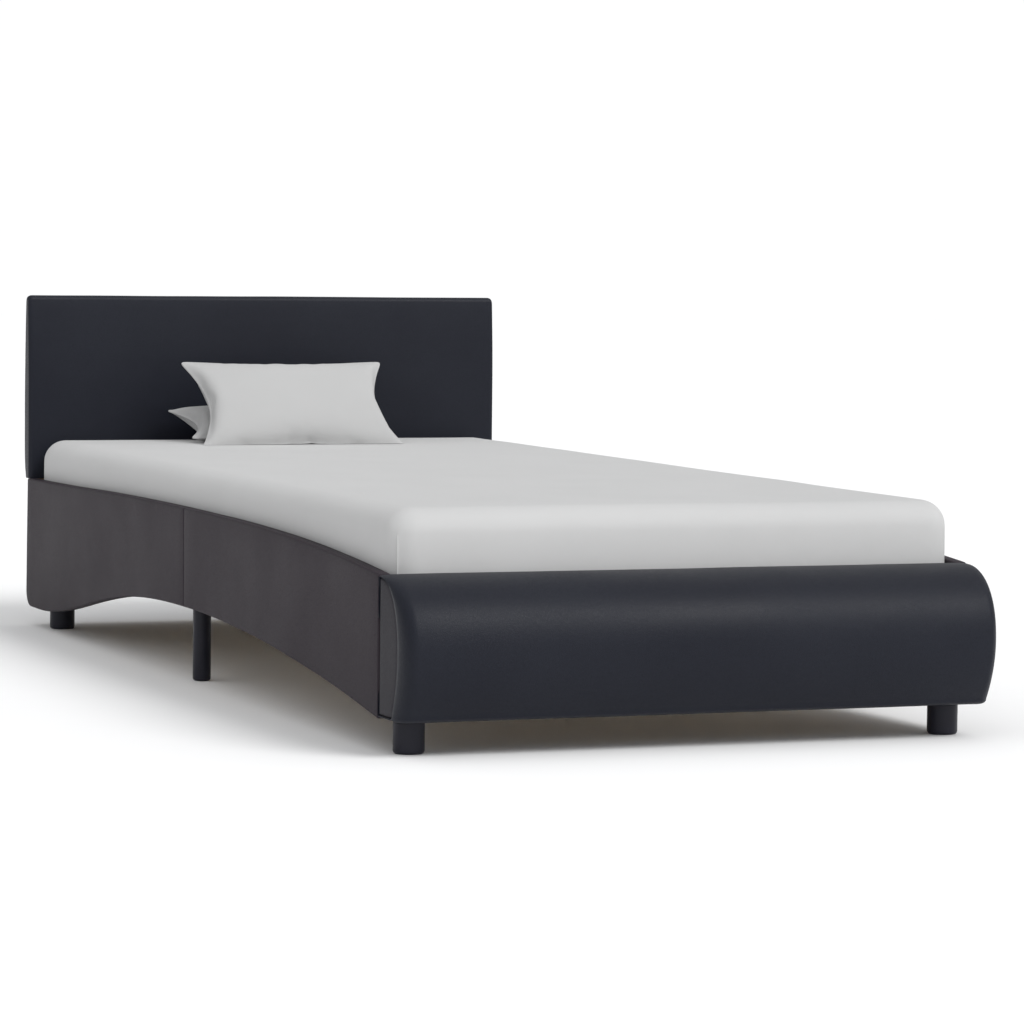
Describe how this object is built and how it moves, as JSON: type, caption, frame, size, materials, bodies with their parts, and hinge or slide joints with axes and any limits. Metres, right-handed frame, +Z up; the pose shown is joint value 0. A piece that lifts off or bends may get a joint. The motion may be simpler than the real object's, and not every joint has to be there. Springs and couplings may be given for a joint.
{
  "type": "sleigh bed",
  "caption": "Upholstered single sleigh bed with tall headboard, arched side rails, rolled footboard, slatted base, mattress with fitted sheet, and small pillows.",
  "frame": {"origin": "middle of the bed's length and width, on the floor", "axes": "+Z up, +Y from the footboard towards the headboard, +X towards the right-hand side of somebody who stands at the foot and looks at the head"},
  "size_m": [0.94, 2.163, 0.622],
  "materials": {
    "faux_leather": "satin",
    "rail_leather": "satin",
    "foam": "matte",
    "board": "matte",
    "plywood": "matte",
    "back_cloth": "matte",
    "slat_wood": "matte",
    "webbing": "matte",
    "steel_plate": "satin",
    "zinc_bolt": "satin",
    "leg_plastic": "satin",
    "mattress_ticking": "matte",
    "sheet_cotton": "matte",
    "pillow_cotton": "matte"
  },
  "bodies": {
    "frame": {"headboard_cover": "faux_leather", "footboard_cover": "faux_leather", "footboard_end_cap_left": "faux_leather", "footboard_end_cap_right": "faux_leather", "left_rail_cover_foot": "rail_leather", "left_rail_cover_head": "rail_leather", "right_rail_cover_foot": "rail_leather", "right_rail_cover_head": "rail_leather", "headboard_front_foam": "foam", "headboard_back_foam": "foam", "footboard_foam": "foam", "headboard_board": "board", "footboard_inner_panel": "board", "footboard_base": "board", "footboard_middle_rib": "board", "footboard_former_left": "board", "footboard_former_right": "board", "left_rail_board_foot": "board", "left_rail_board_head": "board", "right_rail_board_foot": "board", "right_rail_board_head": "board", "footboard_bent_skin": "plywood", "headboard_back_cloth": "back_cloth", "left_slat_ledge": "slat_wood", "right_slat_ledge": "slat_wood", "slat_01": "slat_wood", "slat_02": "slat_wood", "slat_03": "slat_wood", "slat_04": "slat_wood", "slat_05": "slat_wood", "slat_06": "slat_wood", "slat_07": "slat_wood", "slat_08": "slat_wood", "slat_09": "slat_wood", "slat_10": "slat_wood", "slat_11": "slat_wood", "slat_12": "slat_wood", "slat_13": "slat_wood", "slat_strap_left": "webbing", "slat_strap_right": "webbing", "left_rail_joint_plate": "steel_plate", "right_rail_joint_plate": "steel_plate", "foot_bracket_left": "steel_plate", "foot_bracket_right": "steel_plate", "head_bracket_left": "steel_plate", "head_bracket_right": "steel_plate", "foot_bolt_left": "zinc_bolt", "foot_bolt_right": "zinc_bolt", "head_bolt_left": "zinc_bolt", "head_bolt_right": "zinc_bolt", "front_leg_left": "leg_plastic", "front_leg_right": "leg_plastic", "middle_leg_left": "leg_plastic", "middle_leg_right": "leg_plastic", "rear_leg_left": "leg_plastic", "rear_leg_right": "leg_plastic"},
    "mattress": {"mattress": "mattress_ticking", "fitted_sheet": "sheet_cotton"},
    "back_pillow": {"back_pillow": "pillow_cotton"},
    "front_pillow": {"front_pillow": "pillow_cotton"}
  },
  "joints": [
    {"name": "mattress_lift", "type": "slide", "parent": "frame", "child": "mattress", "axis": [0, 0, 1], "range_m": [0, 0.5]},
    {"name": "back_pillow_lift", "type": "slide", "parent": "mattress", "child": "back_pillow", "axis": [0, 0, 1], "range_m": [0, 0.3]},
    {"name": "front_pillow_lift", "type": "slide", "parent": "back_pillow", "child": "front_pillow", "axis": [0, 0, 1], "range_m": [0, 0.3]}
  ]
}
